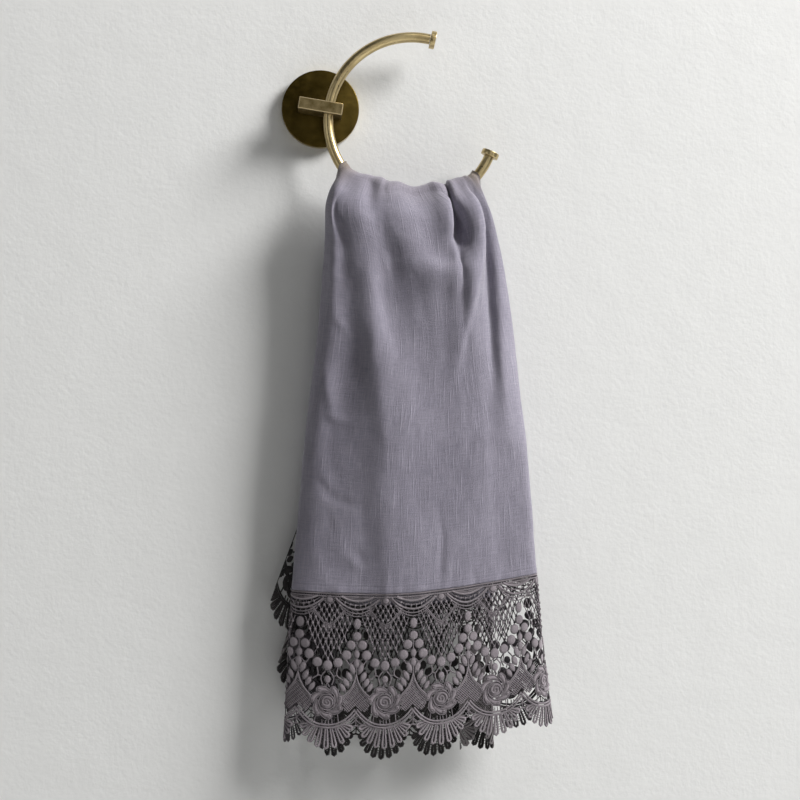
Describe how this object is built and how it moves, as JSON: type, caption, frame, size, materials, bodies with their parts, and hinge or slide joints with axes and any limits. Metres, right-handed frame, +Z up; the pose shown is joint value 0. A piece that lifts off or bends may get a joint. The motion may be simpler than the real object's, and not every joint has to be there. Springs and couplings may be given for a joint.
{
  "type": "hand towel on a towel ring",
  "caption": "Linen hand towel with deep lace ends, draped over an open brass towel ring on a round wall rosette.",
  "frame": {"origin": "centre of the rosette's flat back, on the wall plane Y = 0", "axes": "+Z up, -Y out of the wall towards the room, +X to the right as seen from the room"},
  "size_m": [0.2187, 0.0521, 0.5712],
  "materials": {
    "aged_brass": "dark aged brass, mottled, satin",
    "clamp_brass": "aged brass, lighter at the edges",
    "brushed_brass": "brushed brass, satin",
    "linen": "lilac grey washed linen, plain weave",
    "lace": "grey embroidered cotton lace"
  },
  "bodies": {
    "root": {"rosette": "aged_brass", "clamp_bar": "clamp_brass", "ring_rod": "brushed_brass", "upper_cap": "brushed_brass", "lower_cap": "brushed_brass", "linen_towel": "linen", "front_lace": "lace", "back_lace": "lace"}
  },
  "joints": []
}
